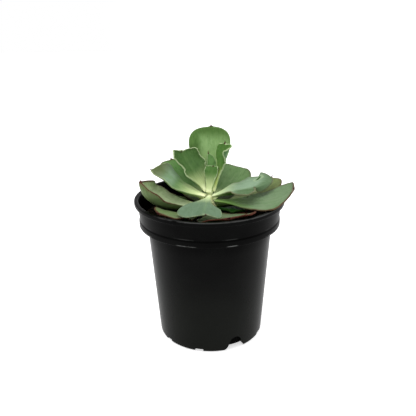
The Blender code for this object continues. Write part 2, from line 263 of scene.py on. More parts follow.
def makeLight():
    world = bpy.data.worlds.new("studio")
    scene.world = world
    world.use_nodes = True
    sky = Sheet(world.node_tree)
    direction = sky.node("ShaderNodeTexCoord", out="Generated")
    depth = sky.axis(direction, "Y")
    strength = sky.ease(depth, *studio["skyTurns"], studio["skyFront"], studio["skyBack"])
    sideways = sky.axis(direction, "X")
    strength = strength + sky.ease(sideways + depth, *studio["rightTurns"]) * studio["skyRight"]
    background = world.node_tree.nodes["Background"]
    sky.feed(background.inputs["Color"], studio["skyTint"])
    sky.feed(background.inputs["Strength"], strength)
    lamp = bpy.data.lights.new("softbox", "AREA")
    lamp.shape = "DISK"
    lamp.size = studio["lampSize"]
    lamp.energy = studio["lampPower"]
    holder = linked("softbox", lamp)
    holder.location = studio["lampPlace"]
    aim = Vector(studio["lampAim"]) - holder.location
    holder.rotation_euler = aim.to_track_quat("-Z", "Y").to_euler()
    scene.view_settings.view_transform = "Standard"
    scene.view_settings.look = "None"
    print("camera, floor and light")


# Leaves: each is a closed blade, bent to the same surface as its plain solid, with thin rounded margins

# Sizes are in millimetres and degrees, and heights are above the pot's rim. A pair gives the clockwise and
# the anticlockwise half, seen from above. A fold is its half, place, spread, then how far it moves the margin
# up, outwards and forward. A curl is its half, place, spread, degrees and added width.
leafDefaults = dict(
    curl=0, curlPower=1.0, nod=0, sweep=0, roll=0, bias=0.0, foot=0.13, waist=1.2, widest=0.7, blunt=2.4,
    cup=22, cupTip=8, lobe=0.0, lobePower=1.5, thick=2.2, mucro=2.0, ripple=0.8, crimp=1.0, curls=(),
    folds=(),
)
leafShapes = {
    "leaf_front_low": dict(
        azimuth=-75, height=-9.3, reach=5.2, length=36, width=33, rise=8, curl=24, curlPower=2.2,
        bias=0.06, waist=0.9, widest=0.6, cup=8, cupTip=(0, 14), lobe=(0.1, 0.36),
    ),
    "leaf_front_left_low": dict(
        azimuth=-133, height=-9.2, reach=5.2, length=37, width=22.5, rise=5.2, curl=20, roll=-5,
        bias=0.05, cupTip=14, folds=((-1, 0.48, 0.16, -1.8, -3.0, 0),),
    ),
    "leaf_right_front_low": dict(azimuth=-33, height=-7.1, reach=5.0, length=20, width=11, rise=8),
    "leaf_rear_right_low": dict(azimuth=64, height=-9.3, reach=5.2, length=36, width=25, rise=7, curl=17),
    "leaf_rear_low": dict(azimuth=90.5, height=-7.3, reach=5.0, length=35, width=24, rise=20, curl=8),
    "leaf_rear_left_low": dict(
        azimuth=114, height=-9.0, reach=5.2, length=30, width=16, rise=9, curl=10, foot=0.1,
    ),
    "leaf_left_rear_low": dict(
        azimuth=151.5, height=-9.8, reach=4.8, length=33, width=21, rise=3, curl=6, foot=0.1,
    ),
    "leaf_right_low": dict(
        azimuth=16, height=-6.6, reach=4.4, length=39.5, width=24, rise=6, curl=48, curlPower=1.9,
        cup=(4, 24), cupTip=(-35, 14), lobe=(0.75, 0),
    ),
    "leaf_left_low": dict(
        azimuth=203, height=-5.4, reach=4.2, length=45.5, width=29, rise=2, curl=92, curlPower=2.6,
        sweep=-20, bias=-0.12, foot=0.1, waist=0.8, blunt=2.0, cup=(48, 50), cupTip=(52, 84),
    ),
    "leaf_right_front": dict(
        azimuth=-22, height=-2.4, reach=3.6, length=50.8, width=28, rise=2.0, curl=59, curlPower=3.4,
        roll=4, widest=0.66, blunt=3.0, cup=(14, 6), cupTip=(0, 34), lobe=(0.55, 0.2), mucro=0.8,
    ),
    "leaf_rear_left": dict(
        azimuth=136.5, height=-4.1, reach=4.0, length=35.5, width=23.5, rise=26.5, curl=21, roll=-7,
        blunt=2.8, lobe=(0, 0.25), crimp=1.7,
        folds=((1, 0.42, 0.18, -0.8, -4.4, 0), (-1, 0.3, 0.14, 0, 2, 0)),
    ),
    "leaf_rear_right": dict(
        azimuth=61, height=-4.2, reach=4.1, length=34, width=26, rise=22, curl=6, roll=9, bias=-0.05,
        foot=0.1, blunt=2.0, lobe=(0.2, 0.4), mucro=0.8, crimp=2.2,
    ),
    "leaf_front_left": dict(
        azimuth=-96, height=0.3, reach=1.8, length=31, width=25, rise=3.2, curl=-6, roll=2, bias=-0.08,
        foot=0.1, waist=1.3, widest=0.82, blunt=2.6, cupTip=-8, lobe=(0.42, 0.66), mucro=0.8, crimp=0.7,
        folds=((1, 0.54, 0.2, 0, -4.0, 0), (-1, 0.7, 0.12, 0.8, 1.2, 0), (-1, 0.95, 0.12, 0, -1.6, 0.6)),
    ),
    "leaf_left": dict(
        azimuth=172, height=-0.2, reach=2.2, length=36.5, width=21, rise=4, curl=62, nod=42, roll=-8,
        bias=-0.05, foot=0.24, waist=0.8, widest=0.6, blunt=1.8, cup=(22, 50), cupTip=(30, 20), crimp=0.8,
        folds=((-1, 0.82, 0.1, 1.8, 1, 0), (-1, 0.5, 0.16, -1.8, -2.6, 0)),
    ),
    "leaf_right": dict(
        azimuth=-13, height=0.3, reach=1.9, length=25.5, width=25, rise=14, foot=0.14, waist=0.9,
        blunt=4.0, cup=20, cupTip=(10, 60), lobe=(0.25, 0.98), lobePower=0.5, crimp=1.5,
        folds=(
            (-1, 0.45, 0.22, 1.5, -2, 0), (-1, 0.86, 0.1, -1.6, 0.5, 0), (1, 0.62, 0.14, -1, -1, 0),
            (1, 0.79, 0.05, -1.8, 0, 0), (1, 0.88, 0.05, 1.3, 0, -2.5), (1, 0.99, 0.05, -3.6, 0, 1.5),
        ),
    ),
    "leaf_rear": dict(azimuth=100, height=-5.2, reach=4.2, length=34, width=14, rise=24, curl=4),
    "leaf_back_tall": dict(
        azimuth=86, height=-2.2, reach=4.2, length=45, width=26, rise=44, curl=42, bias=0.03,
        foot=0.14, widest=0.78, blunt=2.6, cup=6, cupTip=10, crimp=0.35,
    ),
    "leaf_back_left": dict(
        azimuth=134, height=2.2, reach=2.8, length=30, width=20.5, rise=43, curl=2, roll=-16,
        bias=-0.04, foot=0.12, waist=1.0, blunt=2.8, cup=(55, 25), cupTip=(50, 35), lobe=(0, 0.6),
        ripple=1.2, crimp=3.2,
        folds=((1, 0.62, 0.12, 0, -3.2, 0), (1, 0.92, 0.1, 2.4, -1.6, 0), (-1, 0.8, 0.14, 1.0, -2.0, 0)),
    ),
    "leaf_inner_right": dict(
        azimuth=41, height=2.2, reach=3.2, length=29.4, width=14.2, rise=64, curl=14, bias=-0.08, foot=0.14,
        waist=2.4, widest=0.9, blunt=3.4, lobe=(0.14, 0), curls=((-1, 0.77, 0.13, 85, 0.2),), crimp=2.6,
    ),
    "leaf_inner_back": dict(
        azimuth=84, height=1.8, reach=4.0, length=23, width=6.6, rise=63, curl=4, sweep=20,
        bias=-0.15, foot=0.2, blunt=2.0, cup=(10, 60), cupTip=(10, 90), thick=1.2,
    ),
    "leaf_inner_small": dict(
        azimuth=68, height=2.0, reach=-0.4, length=16.6, width=8.6, rise=63, bias=0.08, foot=0.4,
        widest=0.86, blunt=3.5, lobe=0.15, thick=1.2, mucro=0.6, crimp=1.8,
    ),
}
leafMesh = dict(
    rimHeight=88.0, ribSteps=60, bodyRows=44, endRows=22, columns=30, crowding=0.85, weld=0.0000002,
    tipSides=12,
)
# What all blades share. From, To and Grows are shares of the length; Wide, Width and Edge are millimetres.
leafForm = dict(
    nodFrom=0.55, rollTo=0.5, straightest=0.01,
    ripples=2.5, rippleLag=0.37, rippleDepth=3, rippleGrows=(0.25, 0.7),
    lobeFrom=0.5, foldDepth=2.2,
    drawn=0.25, drawnWidth=0.9, drawnFrom=0.93,
    wrapGap=1.5, wrapMost=1.2, wrapTo=0.3,
    crimp=0.22, crimpDepth=4, crimpGrows=(0.2, 0.6), crimpWaves=((4.3, 0.45), (8.3, 0.35), (13.3, 0.3)),
    narrow=4,
    scallop=0.12, scallopFrom=0.7, scallopRate=0.95, scallopSecond=0.6, scallopShift=2.3,
    wrinkle=0.1, wrinkleGrows=(0.1, 0.5), wrinkleEdge=2, wrinkleAcross=(0.9, -0.5), wrinkleAlong=(0.55, 0.37),
    marginRound=0.45, footRound=1.5, thinnest=0.38, edgeThins=0.62, edgeDepth=1.8, tipThins=0.35, tipFrom=0.6,
    keel=0.28, keelWidth=1.6, keelGrows=(0.1, 0.6),
    channel=0.22, channelWidth=1.3, channelGrows=(0.05, 0.3),
    mucroWide=0.4, mucroPoint=0.1, mucroLong=0.98, mucroSunk=0.45, mucroRise=8,
    faceEdge=0.4, faceApart=4.0,
)


def heading(rise, turn):
    return np.stack([np.cos(rise) * np.cos(turn), np.cos(rise) * np.sin(turn), np.sin(rise)], -1)


def leafRibs(shape):
    # the midrib's points with its rise and turn, in millimetres and radians
    steps = leafMesh["ribSteps"]
    at = np.linspace(0, 1, steps + 1)
    nod = shape["nod"] * smooth(leafForm["nodFrom"], 1, at)
    rise = np.radians(shape["rise"] + shape["curl"] * at ** shape["curlPower"] - nod)
    turn = np.radians(shape["azimuth"] + shape["sweep"] * at)
    along = heading(rise, turn)
    start = heading(0, math.radians(shape["azimuth"])) * shape["reach"]
    start[2] = leafMesh["rimHeight"] + shape["height"]
    points = start + np.vstack([[0, 0, 0], np.cumsum(along[:-1], 0)]) * (shape["length"] / steps)
    return at, points, rise, turn


def leafHalfWidth(shape, t, s):
    full = shape["width"] * (0.5 + np.where(s > 0, 1, -1) * shape["bias"])
    for hand, middle, spread, _, widen in shape["curls"]:
        full = full * (1 + widen * np.exp(-(((t - middle) / spread) ** 2)) * (s * hand > 0))
    grown = smooth(0, shape["widest"], t) ** shape["waist"]
    body = shape["foot"] + (1 - shape["foot"]) * grown
    past = np.clip((t - shape["widest"]) / (1 - shape["widest"]), 0, 1)
    end = np.clip(1 - past ** shape["blunt"], 0, 1) ** (1 / shape["blunt"])
    return full * np.where(t < shape["widest"], body, end)


def leafMiddle(shape, t, s):
    # the blade's middle surface: t runs along from foot to tip, s across from -1 to 1
    form = leafForm

    def pair(key):
        low, high = shape[key] if isinstance(shape[key], tuple) else (shape[key], shape[key])
        return np.where(s > 0, high, low)

    def nearby(hand, middle, spread):
        return np.exp(-(((t - middle) / spread) ** 2)) * (s * hand > 0)

    at, points, rise, turn = leafRibs(shape)
    point = np.stack([np.interp(t, at, points[:, axis]) for axis in range(3)], -1)
    rise, turn = np.interp(t, at, rise), np.interp(t, at, turn)
    along = heading(rise, turn)
    flat = np.stack([-np.sin(turn), np.cos(turn), 0 * turn], -1)
    up = np.cross(along, flat)
    roll = np.radians(shape["roll"] * smooth(0, form["rollTo"], t))[..., None]
    across = flat * np.cos(roll) + up * np.sin(roll)
    normal = up * np.cos(roll) - flat * np.sin(roll)

    # each half bends in an arc, with ripples towards its margin
    side = np.abs(s)
    half = leafHalfWidth(shape, t, s)
    fullness = half / (shape["width"] / 2)
    arc = pair("cup") + (pair("cupTip") - pair("cup")) * t
    for hand, middle, spread, degrees, _ in shape["curls"]:
        arc = arc + degrees * nearby(hand, middle, spread)
    arc = np.radians(arc)
    arc = np.where(np.abs(arc) > form["straightest"], arc, form["straightest"])
    lift = half * (1 - np.cos(arc * side)) / arc
    sideways = np.sign(s) * half * np.sin(arc * side) / arc
    wave = np.sin(2 * math.pi * (form["ripples"] * t + np.where(s > 0, form["rippleLag"], 0)))
    ripple = pair("ripple") * smooth(*form["rippleGrows"], t) * fullness
    lift = lift + ripple * side ** form["rippleDepth"] * wave

    # lobes beside the tip, the end drawn out to the tip's point, and the foot wrapped round the stem
    bulge = (side * fullness) ** shape["lobePower"] * smooth(form["lobeFrom"], 1, t)
    forward = pair("lobe") * shape["width"] / 2 * bulge
    drawn = form["drawn"] * shape["mucro"] * np.exp(-((s * half / form["drawnWidth"]) ** 2))
    forward = forward + drawn * smooth(form["drawnFrom"], 1, t)
    bent = np.minimum(form["wrapMost"], side * half / (shape["reach"] + form["wrapGap"]))
    forward = forward - shape["reach"] * (1 - np.cos(bent)) * (1 - smooth(0, form["wrapTo"], t))
    for hand, middle, spread, riseBy, shiftBy, forwardBy in shape["folds"]:
        weight = nearby(hand, middle, spread) * side ** form["foldDepth"]
        lift = lift + riseBy * weight
        sideways = sideways + hand * shiftBy * weight
        forward = forward + forwardBy * weight
    return point + across * sideways[..., None] + normal * lift[..., None] + along * forward[..., None]


def unit(vectors):
    return vectors / np.maximum(np.linalg.norm(vectors, axis=-1, keepdims=True), 1e-9)


def leafNormals(surface):
    normal = unit(np.cross(np.gradient(surface, axis=0), np.gradient(surface, axis=1)))
    normal[-1] = normal[-2]
    return normal


def distanceTo(surface, line):
    # from each point of the surface to the nearest point of the line
    if len(line) > 1:
        stretches = [line[:-1] + (line[1:] - line[:-1]) * share for share in (0, 0.25, 0.5, 0.75)]
        line = np.concatenate([*stretches, line[-1:]])
    return np.min(np.linalg.norm(surface[:, :, None] - line[None, None], axis=-1), axis=-1)


def leafGrid(shape):
    # rows lie closer towards the round end, and columns towards the margins
    widest, blunt = shape["widest"], shape["blunt"]
    bend = np.linspace(0, math.pi / 2, leafMesh["endRows"] + 1)
    ends = widest + (1 - widest) * (1 - np.cos(bend) ** blunt) ** (1 / blunt)
    rows = np.concatenate([np.linspace(0, widest, leafMesh["bodyRows"], endpoint=False), ends])
    rows[-1] = 1
    step = np.linspace(0, 1, leafMesh["columns"] + 1)
    crowding = leafMesh["crowding"]
    columns = -crowding * np.cos(math.pi * step) + (1 - crowding) * (2 * step - 1)
    return np.meshgrid(rows, columns, indexing="ij")


def crimped(middle, shape, t, s, half, toEdge, seed):
    # crimps and scallops along the margin, and shallow wrinkles over the face
    form = leafForm
    random.seed(seed)
    waves = [(rate, share, random.random(), random.random()) for rate, share in form["crimpWaves"]]
    crimp = sum(
        share * np.sin(2 * math.pi * (rate * t + np.where(s > 0, right, left)))
        for rate, share, left, right in waves
    )
    full = np.minimum(1, half / form["narrow"])
    relief = form["crimp"] * shape["crimp"] * crimp * np.abs(s) ** form["crimpDepth"]
    relief = relief * smooth(*form["crimpGrows"], t) * full

    across, along = s * half, t * shape["length"]
    tipward = unit(np.gradient(middle, axis=0))
    rate = form["scallopRate"]
    scallop = np.sin(rate * across + seed)
    scallop = scallop + form["scallopSecond"] * np.sin(2 * rate * across + form["scallopShift"] * seed)
    scallop = form["scallop"] * shape["crimp"] * scallop * smooth(form["scallopFrom"], 1, t) * full

    (firstAcross, secondAcross), (firstAlong, secondAlong) = form["wrinkleAcross"], form["wrinkleAlong"]
    lumps = np.sin(firstAcross * across + firstAlong * along + seed)
    lumps = lumps * np.sin(secondAlong * along + secondAcross * across)
    inner = np.minimum(1, toEdge / form["wrinkleEdge"])
    relief = relief + form["wrinkle"] * lumps * smooth(*form["wrinkleGrows"], t) * inner
    return middle + tipward * scallop[..., None] + leafNormals(middle) * relief[..., None]


def leafBlade(shape, seed):
    form, count = leafForm, leafMesh["columns"]
    t, s = leafGrid(shape)
    half = leafHalfWidth(shape, t, s)
    half[-1] = 0
    across = s * half
    middle = leafMiddle(shape, t, s)
    toEdge = distanceTo(middle, np.concatenate([middle[:, 0], middle[::-1, -1]]))
    toTip = distanceTo(middle, middle[-1:, 0])
    middle = crimped(middle, shape, t, s, half, toEdge, seed)
    normal = leafNormals(middle)

    # the upper and the under face meet in a rounded margin
    toFoot = np.minimum(1, t * shape["length"] / form["footRound"])
    inside = 1 - np.minimum(1, toEdge / form["marginRound"])
    roundness = np.sqrt(1 - inside**2) * np.sqrt(1 - (1 - toFoot) ** 2)
    taper = 1 - form["edgeThins"] * np.abs(s) ** form["edgeDepth"]
    taper = taper * (1 - form["tipThins"] * smooth(form["tipFrom"], 1, t))
    depth = shape["thick"] / 2 * np.maximum(form["thinnest"], taper) * roundness
    hollow = np.exp(-((across / form["channelWidth"]) ** 2)) * smooth(*form["channelGrows"], t) * roundness
    ridge = np.exp(-((across / form["keelWidth"]) ** 2)) * smooth(*form["keelGrows"], t) * roundness
    upper = middle + normal * (depth - form["channel"] * hollow)[..., None]
    under = middle - normal * (depth + form["keel"] * ridge)[..., None]
    ring = np.concatenate([upper, under[:, -2::-1]], 1)

    # a flat grid is wrapped round the blade, and its two long edges are welded
    work = bmesh.new()
    around, rowSpan = 2 * count, len(t) - 1
    bmesh.ops.create_grid(work, x_segments=rowSpan, y_segments=around, size=1)
    placeLayer = work.verts.layers.float_vector.new("leafPlace")
    faceLayer, edgeLayer, tipLayer, alongLayer = (
        work.verts.layers.float.new("leaf" + name) for name in ("Face", "Edge", "Tip", "Along")
    )
    for vertex in work.verts:
        row = round((vertex.co.x + 1) / 2 * rowSpan)
        column = round((vertex.co.y + 1) / 2 * around)
        back = column if column <= count else around - column
        hand = 1 if column <= count else -1
        edge = toEdge[row, back]
        vertex[placeLayer] = (across[row, back], t[row, back] * shape["length"], form["faceApart"] * hand)
        vertex[faceLayer] = hand * min(1, edge / form["faceEdge"])
        vertex[edgeLayer] = edge
        vertex[tipLayer] = toTip[row, back]
        vertex[alongLayer] = t[row, back]
        vertex.co = Vector(ring[row, column]) * mm
    bmesh.ops.remove_doubles(work, verts=work.verts[:], dist=leafMesh["weld"])

    # the pointed tip
    rise = math.radians(shape["rise"] + shape["curl"] - shape["nod"] + form["mucroRise"])
    turn = math.radians(shape["azimuth"] + shape["sweep"])
    ahead = Vector(heading(rise, turn))
    long = form["mucroLong"] * shape["mucro"]
    turned = ahead.to_track_quat("Z", "Y").to_matrix().to_4x4()
    centre = Vector(middle[-1, 0]) + ahead * (long / 2 - form["mucroSunk"])
    spike = bmesh.ops.create_cone(
        work, cap_ends=True, segments=leafMesh["tipSides"], radius1=form["mucroWide"] * mm,
        radius2=form["mucroPoint"] * mm, depth=long * mm, matrix=Matrix.Translation(centre * mm) @ turned,
    )
    for vertex in spike["verts"]:
        vertex[placeLayer] = (0, shape["length"], form["faceApart"])
        vertex[faceLayer] = 1
        vertex[alongLayer] = 1
    return work


# Leaf skin: every leaf has its own green, and shares of the same bloom, age and margins

leafTints = dict(
    # partly painted light: the foot's own pale green, brightened near white to light the shaded heart
    core=(0.93, 0.97, 0.6),
    bloom=(0.26, 0.37, 0.26),
    vein=(0.3, 0.45, 0.18),
    olive=(0.115, 0.105, 0.038),
    paleEdge=(0.46, 0.58, 0.32),
    redEdge=(0.078, 0.024, 0.014),
    tip=(0.06, 0.01, 0.012),
    scar=(0.13, 0.075, 0.035),
)
skinLook = dict(
    specular=0.08,
    patches=(0.16, 0.09, 1.0), mottle=(0.55, 0.3, 1.0), streaks=(1.6, 0.12, 1.0), specks=(2.6, 2.2, 1.0),
    deepened=(0.48, 0.6, 0.38), lightened=(1.9, 1.6, 1.9), lightest=0.9, dimmed=(0.36, 0.45, 0.28),
    roughness=0.42, powderRoughness=0.28, mottleRoughness=0.08, bump=0.7, bumpDepth=0.0005,
)
# tone, heart and under are the greens of the face, the foot and the underside; bloom, olive, red, pale and
# vein are shares; heartTo is how far the pale foot reaches; the pale band lies veinOff millimetres off the
# midrib, a painted highlight where it is moved; dimHand and dimSide paint shade on one half, dimTip paints
# shade on the end and oliveTip makes the end more olive; blush spreads the red inwards; a spot is
# its place across and along and its radius, in millimetres
lookDefaults = dict(
    heart=(0.74, 0.86, 0.42), under=(0.04, 0.12, 0.012), bloom=0.1, bloomFrom=-1.0, underBloom=0.0,
    olive=0.0, oliveTip=0.0, oliveFrom=0.6, red=0.1, redFrom=0.25, pale=0.2, heartTo=0.5, core=0.8,
    vein=0.3, veinOff=0.0, veinWide=1.6, dimHand=1, dimSide=0.0, dimEdges=(-0.5, 5.0), dimTip=0.0,
    dimFrom=0.78, blush=0.3, blushHand=0, blushTo=2.0, spot=None, spotTint=(0.06, 0.01, 0.012), spotRing=0.0,
)
leafLooks = {
    # painted highlight: the pale band is moved 3.7 mm off the midrib and widened, onto a crease that catches
    # the light
    "leaf_back_tall": dict(
        tone=(0.22, 0.372, 0.13), red=0.05, heartTo=0.74, heart=(0.56, 0.84, 0.26), veinOff=3.7,
        veinWide=2.8, vein=0.32, dimSide=0.95, dimTip=1.0, dimEdges=(4.6, 9.0),
    ),
    "leaf_back_left": dict(
        tone=(0.052, 0.122, 0.024), bloom=0.06, pale=0.8, heartTo=0.57, heart=(0.52, 0.62, 0.28), vein=0.12,
    ),
    "leaf_inner_back": dict(tone=(0.105, 0.235, 0.056), red=0.05, pale=0.5, heartTo=0.6, vein=0.1),
    "leaf_inner_small": dict(
        tone=(0.062, 0.152, 0.027), bloom=0.05, red=0.0, pale=0.75, heartTo=0.8, heart=(0.62, 0.72, 0.35),
        vein=0.1,
    ),
    "leaf_inner_right": dict(
        tone=(0.06, 0.155, 0.021), bloom=0.06, red=0.05, pale=0.85, heartTo=0.62, heart=(0.58, 0.7, 0.2),
        under=(0.06, 0.155, 0.04), underBloom=0.3, vein=0.1,
    ),
    "leaf_rear_right": dict(tone=(0.11, 0.204, 0.068), olive=0.1, red=0.7, heartTo=0.38, vein=0.15, core=0.4),
    # painted shade: the dark green spot near the end lies in the fold's pocket
    "leaf_right": dict(
        tone=(0.2, 0.3, 0.185), bloom=0.55, red=0.5, pale=0.5, heartTo=0.64, dimTip=0.75, dimFrom=0.84,
        dimHand=-1, dimSide=1.0, dimEdges=(-1.5, 3.0), spot=(9.0, 21.2, 1.3), spotTint=(0.05, 0.115, 0.03),
        spotRing=0.3,
    ),
    # painted shade: the foot's green is near black, the shade under the leaves above it
    "leaf_right_low": dict(
        tone=(0.18, 0.24, 0.08), olive=0.4, red=0.9, pale=0.1, heartTo=0.2, heart=(0.06, 0.12, 0.01),
        core=0.0,
    ),
    "leaf_right_front": dict(
        tone=(0.12, 0.205, 0.085), bloom=0.3, olive=0.25, red=0.85, heartTo=0.6, vein=0.15,
        heart=(0.2, 0.43, 0.04), core=0.15, spot=(6.1, 18.8, 0.7),
    ),
    # painted shade: this leaf's green is near black, the shade under the leaves above it
    "leaf_right_front_low": dict(
        tone=(0.003, 0.037, 0.0006), bloom=0.0, pale=0.0, heartTo=0.1, vein=0.0, heart=(0.02, 0.06, 0.005),
        core=0.0, under=(0.003, 0.037, 0.0006),
    ),
    "leaf_front_low": dict(
        tone=(0.115, 0.185, 0.085), bloom=0.25, olive=0.6, red=1.0, pale=0.05, heartTo=0.3,
        heart=(0.2, 0.3, 0.1), core=0.2, blush=1.0, blushHand=1, blushTo=5.0, redFrom=0.0,
    ),
    "leaf_front_left_low": dict(
        tone=(0.124, 0.19, 0.062), bloom=0.2, olive=0.5, red=0.9, pale=0.1, heartTo=0.15, core=0.2,
    ),
    "leaf_front_left": dict(
        tone=(0.084, 0.146, 0.08), bloom=0.28, red=0.08, pale=0.4, heartTo=0.56, vein=0.2,
    ),
    # painted light: this leaf's green is made far paler than its own, to light the inside of its curled
    # trough
    "leaf_left_low": dict(
        tone=(0.5, 0.62, 0.36), bloom=0.0, olive=0.2, red=1.0, pale=0.1, heartTo=0.25,
        under=(0.105, 0.16, 0.062), vein=0.0, core=0.1,
    ),
    "leaf_left": dict(
        tone=(0.105, 0.215, 0.066), bloom=0.95, bloomFrom=0.5, red=0.15, pale=0.5, heartTo=0.58,
        oliveTip=0.65, oliveFrom=0.7, dimTip=0.9, dimFrom=0.72, vein=0.1,
    ),
    "leaf_rear_left": dict(
        tone=(0.09, 0.23, 0.047), bloom=0.12, olive=0.2, red=0.8, heartTo=0.45, vein=0.1, core=0.3,
    ),
    "leaf_rear": dict(tone=(0.12, 0.215, 0.075), olive=0.1, red=0.3, pale=0.3, heartTo=0.3, core=0.3),
    "leaf_rear_low": dict(tone=(0.08, 0.15, 0.045), olive=0.4, red=0.5, heartTo=0.2, core=0.2),
    "leaf_rear_right_low": dict(tone=(0.08, 0.14, 0.04), olive=0.4, red=0.6, heartTo=0.15, core=0.0),
    "leaf_rear_left_low": dict(tone=(0.07, 0.135, 0.035), olive=0.4, red=0.6, heartTo=0.15, core=0.0),
    "leaf_left_rear_low": dict(
        tone=(0.03, 0.085, 0.012), bloom=0.0, olive=0.3, red=0.65, heartTo=0.15, core=0.0,
    ),
}


def leafFinish(node, look):
    tints, shared, tone = leafTints, skinLook, look["tone"]
    skin = Finish(node + "_skin", specularIorLevel=shared["specular"])
    place = skin.attribute("leafPlace", "Vector")
    along = skin.attribute("leafAlong")
    edge = skin.attribute("leafEdge")
    upper = skin.ease(skin.attribute("leafFace"), -0.2, 0.2)
    across = skin.axis(place, "X")
    patches, mottle, streaks, specks = (
        skin.cloud(skin.scaled(place, shared[name]), 1.0, detail)
        for name, detail in (("patches", 3.0), ("mottle", 4.0), ("streaks", 3.0), ("specks", 2.0))
    )

    def past(key, run):
        return skin.ease(along, look[key], look[key] + run)

    # the face: its green, the midrib band, the olive of age and the pale foot; the near-white core at the
    # foot is partly painted light
    deep = tuple(part * share for part, share in zip(tone, shared["deepened"]))
    light = tuple(min(shared["lightest"], part * share) for part, share in zip(tone, shared["lightened"]))
    # the pale band follows the midrib; where it is moved off it, it is a painted highlight
    shifted = across - look["veinOff"]
    offMidrib = shifted.maths("ABSOLUTE", shifted, 0)
    vein = (1 - skin.ease(offMidrib, 0.1, look["veinWide"])) * (1 - along * 0.6)
    aged = skin.ease(patches, 0.3, 0.65) * look["olive"]
    heart = 1 - skin.ease(along + (streaks - 0.5) * 0.14, 0.04, look["heartTo"])
    core = 1 - skin.ease(along, 0.03, 0.2)
    face = skin.layered(
        tone,
        (deep, skin.ease(mottle, 0.42, 0.78) * 0.6),
        (light, skin.ease(streaks, 0.5, 0.78) * 0.35),
        (tints["vein"], vein * look["vein"]),
        (tints["olive"], aged * 0.8),
        (look["heart"], heart),
        (tints["core"], core * look["core"]),
    )
    below = skin.layered(
        look["under"],
        (tints["olive"], skin.ease(patches, 0.35, 0.7) * look["olive"]),
        (deep, skin.ease(streaks, 0.45, 0.8) * 0.3),
        (look["heart"], heart * heart * 0.5),
        (tints["core"], core * core * look["core"]),
    )
    colour = skin.blend(below, face, upper)

    # the waxy bloom lies in patches, thicker on the upper face, rubbed off in specks
    share = look["underBloom"] + (look["bloom"] - look["underBloom"]) * upper
    powder = skin.ease(patches, 0.12, 0.6) * (0.6 + 0.4 * mottle) * share * past("bloomFrom", 0.18)
    powder = powder * (1 - skin.ease(specks, 0.6, 0.72) * 0.45)
    colour = skin.blend(colour, tints["bloom"], powder)

    # painted shade: one half and the end are darkened as if shaded; the end can also be more olive with age
    dimSide = skin.ease(across * look["dimHand"], *look["dimEdges"]) * skin.ease(along, 0.4, 0.7)
    dimSide = dimSide * look["dimSide"]
    dimTip = skin.ease(along, look["dimFrom"], 0.96) * look["dimTip"]
    colour = skin.blend(colour, shared["dimmed"], dimSide.maths("MAXIMUM", dimSide, dimTip), "MULTIPLY")
    endOlive = past("oliveFrom", 0.16) * look["oliveTip"]

    # the margin has a pale rim and a red flush, and the tip's point is dark
    rim = 1 - skin.ease(edge + (mottle - 0.5) * 0.8, 0.1, 0.45)
    rim = rim * look["pale"] * skin.ease(along, 0.15, 0.45)
    flush = 1 - skin.ease(edge + (mottle - 0.5), 0.25, 0.75)
    blush = 1 - skin.ease(edge + (mottle - 0.5) * 2.0, 0.25 * look["blushTo"], look["blushTo"])
    if look["blushHand"]:
        blush = blush * skin.ease(across * look["blushHand"], 1.0, 4.0)
    flush = flush.maths("MAXIMUM", flush, blush * look["blush"])
    scars = skin.ease(specks, 0.7, 0.76) * skin.ease(patches, 0.55, 0.62) * 0.5
    colour = skin.layered(
        colour,
        (tints["olive"], endOlive * 0.7),
        (tints["paleEdge"], rim),
        (tints["redEdge"], flush * past("redFrom", 0.35) * look["red"]),
        (tints["tip"], 1 - skin.ease(skin.attribute("leafTip"), 0.3, 0.9)),
        (tints["scar"], scars * look["olive"]),
    )
    # a round spot with a ring: a dark mark, and on the right leaf painted shade in a fold's pocket
    if look["spot"]:
        spotAcross, spotAlong, size = look["spot"]
        centre = (spotAcross, spotAlong, leafForm["faceApart"])
        away = skin.node("ShaderNodeVectorMath", {"operation": "DISTANCE"}, {0: place, 1: centre}, "Value")
        colour = skin.blend(colour, look["spotTint"], 1 - skin.ease(away, 0.6 * size, size + 0.01))
        ring = skin.ease(away, size - 0.2, size + 0.2) * (1 - skin.ease(away, size + 0.4, size + 0.8))
        colour = skin.blend(colour, tints["paleEdge"], ring * look["spotRing"])
    rough = shared["roughness"] + shared["powderRoughness"] * powder + shared["mottleRoughness"] * mottle
    skin.set(baseColor=colour, roughness=rough)
    skin.bump(streaks * 0.5 + specks * 0.3 + mottle * 0.7, shared["bump"], shared["bumpDepth"])
    return skin.material


def makeLeaves():
    for number, (node, sizes) in enumerate(leafShapes.items()):
        shape = {**leafDefaults, **sizes}
        work = leafBlade(shape, number + 1)
        finish = leafFinish(node, {**lookDefaults, **leafLooks[node]})
        newPiece(node + "_blade", work, finish, node)
    print("leaves:", len(leafShapes))


# Stem

stemShape = dict(
    tip=89.0, tipDrop=0.3, shoulder=77.0, bottom=59.75, radius=4.6, tipRadius=0.6, swell=0.62,
    endRadius=3.0, steps=64, rings=70, scarEvery=1.9, scarDepth=0.22, waver=0.35, waverAround=3,
    waverUp=1.1, stillRadius=1.2,
)
barkLook = dict(
    freshFrom=(0.079, 0.085), brown=((0.14, 0.085, 0.045), (0.24, 0.17, 0.09)),
    # partly painted light: the young top's pale green, brightened near white to light it in the leaves' shade
    fresh=((0.93, 0.96, 0.5), (0.97, 0.98, 0.62)), grain=(900.0, 900.0, 260.0),
)


